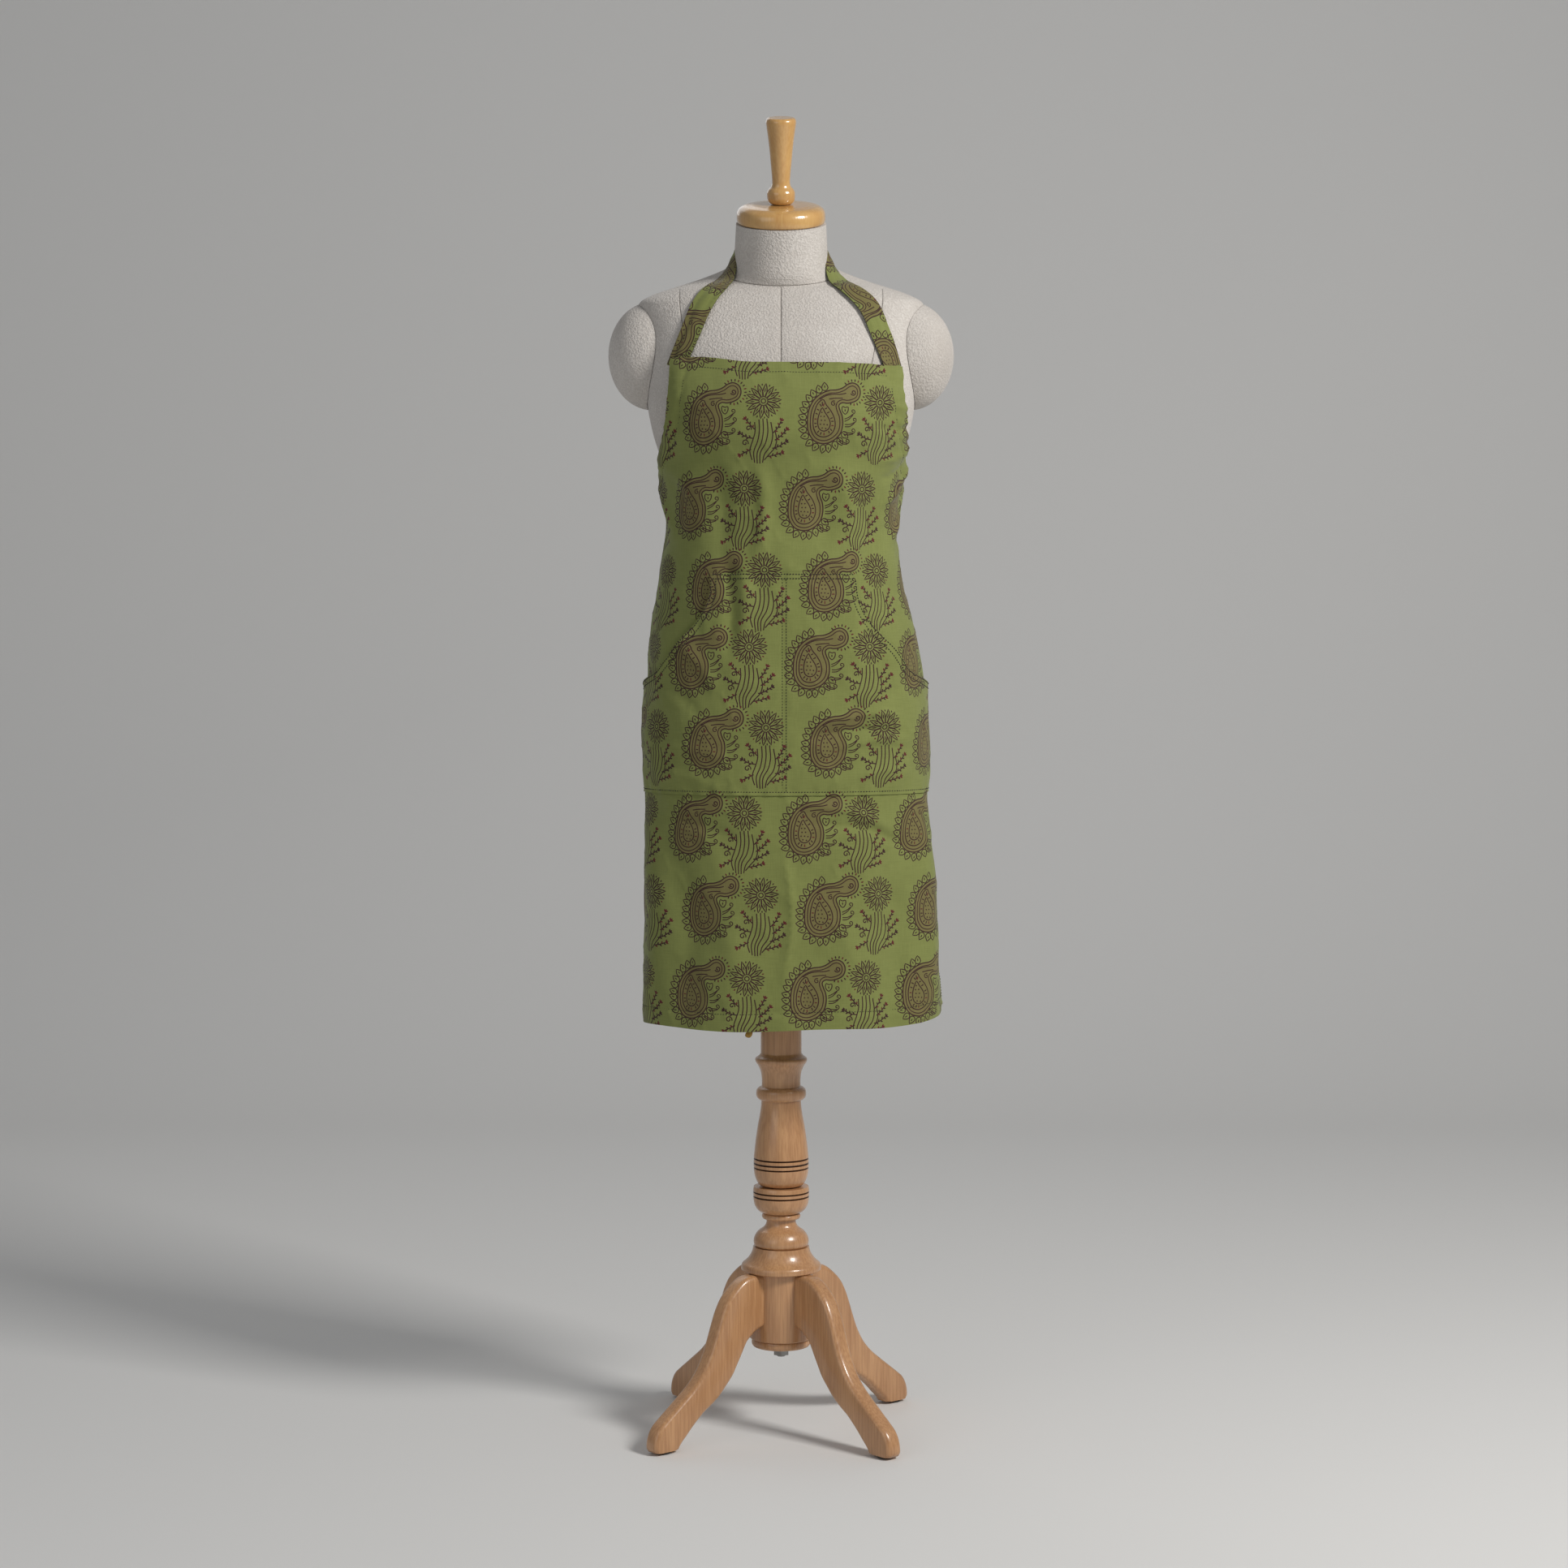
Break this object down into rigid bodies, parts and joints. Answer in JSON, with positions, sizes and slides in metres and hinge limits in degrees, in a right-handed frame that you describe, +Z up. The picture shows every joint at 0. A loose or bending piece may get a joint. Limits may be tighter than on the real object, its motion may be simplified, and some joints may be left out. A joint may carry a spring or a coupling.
{
  "type": "apron on dress form stand",
  "caption": "Bib apron with a kangaroo pocket and threaded neck strap, tied on a padded dress form on a height-adjustable turned wooden stand with cabriole legs.",
  "frame": {"origin": "on the floor, on the axis of the column and pole", "axes": "+Z up, the apron's front faces -Y, +X is to the right of someone looking at its front"},
  "size_m": [0.406, 0.311, 1.5452],
  "materials": {
    "stand_wood": "clear lacquer over light brown turned hardwood",
    "pad_felt": "dark pressed felt glide",
    "steel": "plain zinc plated steel",
    "brass": "dull aged brass",
    "form_felt": "off-white stretched jersey with a fine grey fleck",
    "pale_wood": "glossy lacquered pale hardwood with rings",
    "apron_print": "plain-weave cotton, olive ground with a dark red-brown block print",
    "strap_print": "the same printed cotton folded and stitched as tape"
  },
  "bodies": {
    "stand": {"leg_1": "stand_wood", "leg_2": "stand_wood", "leg_3": "stand_wood", "leg_4": "stand_wood", "foot_pad_1": "pad_felt", "foot_pad_2": "pad_felt", "foot_pad_3": "pad_felt", "foot_pad_4": "pad_felt", "leg_bolt_1": "steel", "leg_bolt_2": "steel", "leg_bolt_3": "steel", "leg_bolt_4": "steel", "hub_post": "stand_wood", "base_disc": "stand_wood", "tie_washer": "steel", "tie_nut": "steel", "tie_rod": "steel", "flange_collar": "stand_wood", "column_cup": "stand_wood", "baluster": "stand_wood", "clamp_insert": "brass"},
    "pole": {"pole": "stand_wood"},
    "form": {"torso_shell": "form_felt", "arm_cap_left": "form_felt", "arm_cap_right": "form_felt", "base_board": "pale_wood", "pole_socket": "pale_wood", "socket_screw_1": "steel", "socket_screw_2": "steel", "socket_screw_3": "steel", "neck_plug": "pale_wood", "neck_cap": "pale_wood", "neck_handle": "pale_wood", "handle_stud": "steel", "apron_panel": "apron_print", "pocket": "apron_print", "casing_left": "apron_print", "casing_right": "apron_print", "neck_strap": "strap_print", "waist_tie_left": "strap_print", "waist_tie_right": "strap_print", "bow_knot": "strap_print", "bow_loop_left": "strap_print", "bow_loop_right": "strap_print", "bow_tail_left": "strap_print", "bow_tail_right": "strap_print"},
    "wing_screw": {"wing_screw": "brass"}
  },
  "joints": [
    {"name": "height_slide", "type": "slide", "parent": "stand", "child": "pole", "axis": [0, 0, 1], "range_m": [-0.02, 0.11]},
    {"name": "form_swivel", "type": "hinge", "parent": "pole", "child": "form", "pos_m": [0, 0, 0.9], "axis": [0, 0, 1], "continuous": true},
    {"name": "clamp_screw_turn", "type": "hinge", "parent": "stand", "child": "wing_screw", "pos_m": [-0.03, 0, 0.484], "axis": [-1, 0, 0], "range_deg": [0, 540]}
  ]
}
